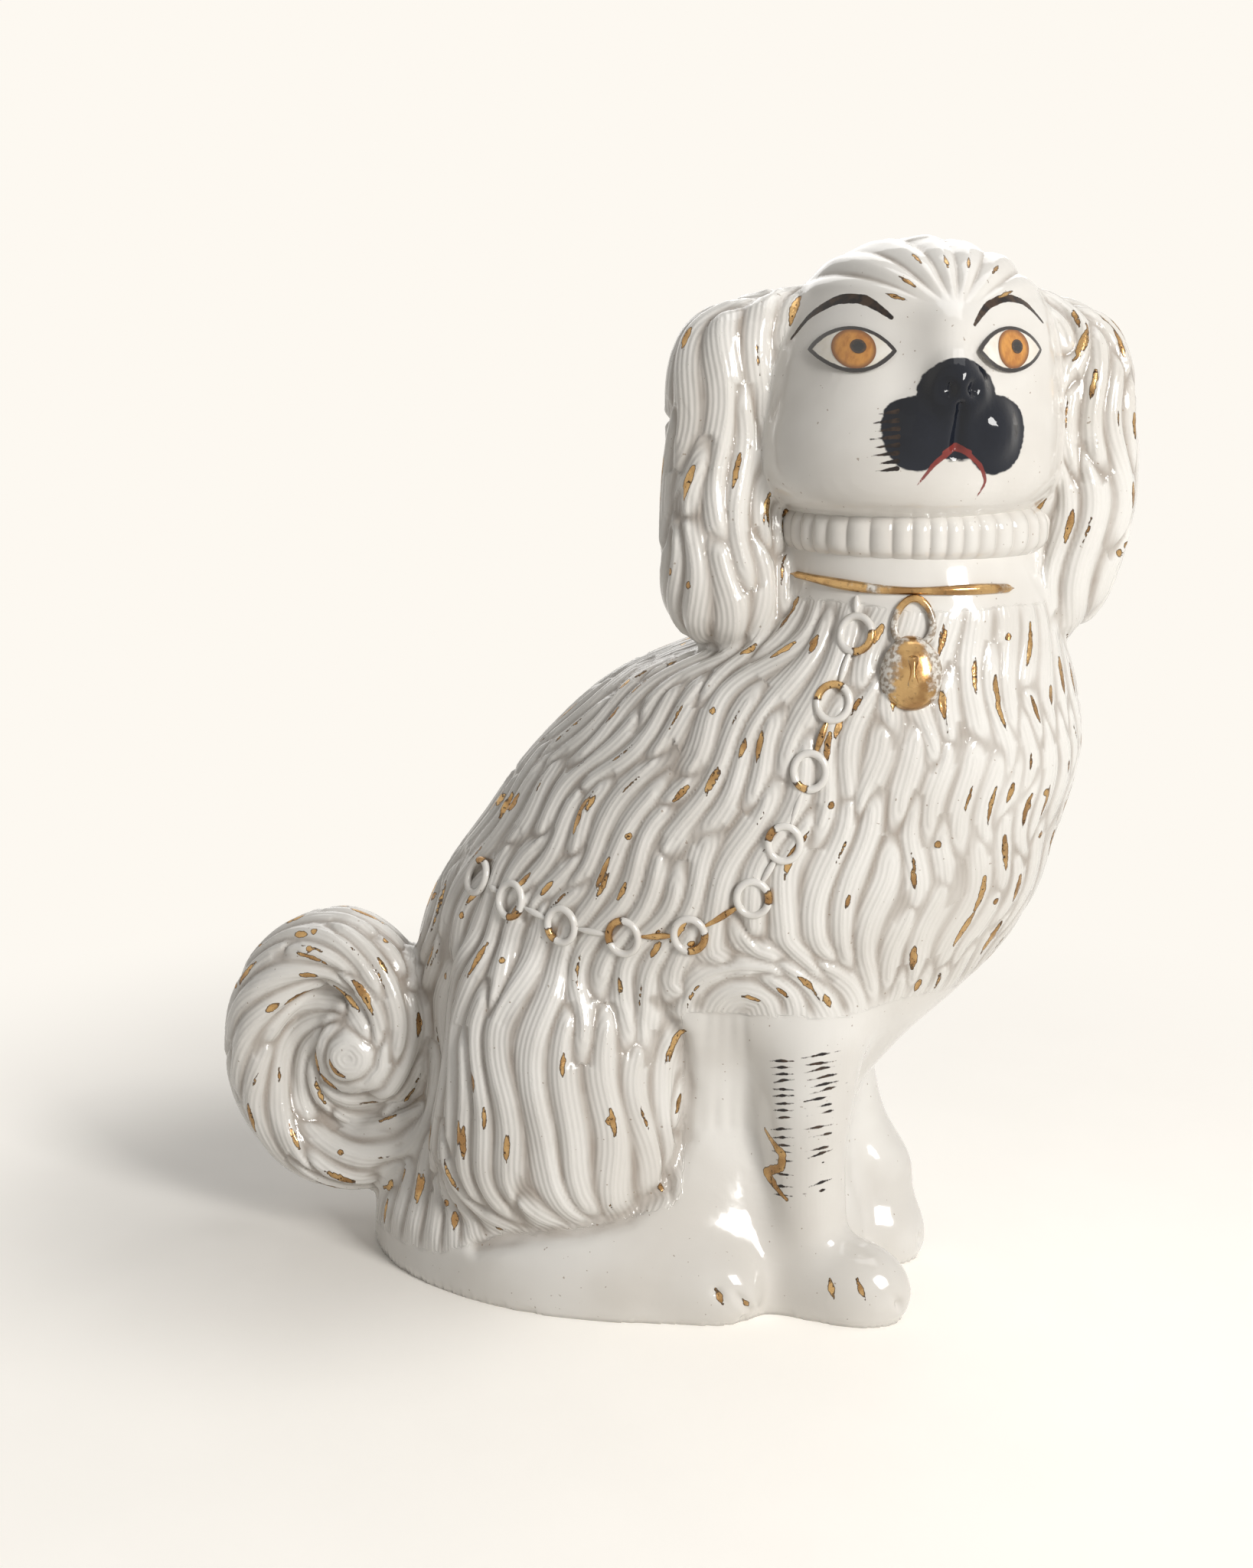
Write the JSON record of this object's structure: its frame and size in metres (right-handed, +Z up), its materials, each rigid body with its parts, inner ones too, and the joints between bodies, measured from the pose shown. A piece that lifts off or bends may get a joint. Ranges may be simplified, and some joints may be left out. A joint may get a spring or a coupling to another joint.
{
  "type": "ceramic spaniel figure",
  "caption": "Seated spaniel mantel figure in white glazed earthenware on an oval base, head turned to the viewer, with curled tail, long ears, gilt collar, padlock and chain.",
  "frame": {"origin": "centre of the oval base's underside, on the plane the figure stands on", "axes": "+Z up; +X the way the dog's chest faces; -Y the side on show, to which the head is turned"},
  "size_m": [0.2818, 0.124, 0.32],
  "materials": {
    "white_glaze": "glossy warm white lead glaze over moulded fur",
    "black_enamel": "glossy blue-black enamel",
    "gilt": "worn gilding, brown-gold",
    "eye_white": "glossy white glaze with a black painted outline",
    "amber_enamel": "glossy amber enamel",
    "pupil_enamel": "glossy dark brown enamel"
  },
  "bodies": {
    "root": {"body_near_half": "white_glaze", "body_far_half": "white_glaze", "base_slab": "white_glaze", "head_front": "white_glaze", "head_back": "white_glaze", "near_ear": "white_glaze", "far_ear": "white_glaze", "near_foreleg": "white_glaze", "far_foreleg": "white_glaze", "near_hind_paw": "white_glaze", "far_hind_paw": "white_glaze", "tail_curl": "white_glaze", "collar_ruff": "white_glaze", "muzzle": "black_enamel", "nose_pad": "black_enamel", "collar_line": "gilt", "chain_rings": "gilt", "chain_joins": "gilt", "padlock_body": "gilt", "padlock_shackle": "gilt", "padlock_keyhole": "gilt", "near_eye": "eye_white", "near_iris": "amber_enamel", "near_pupil": "pupil_enamel", "far_eye": "eye_white", "far_iris": "amber_enamel", "far_pupil": "pupil_enamel"}
  },
  "joints": []
}
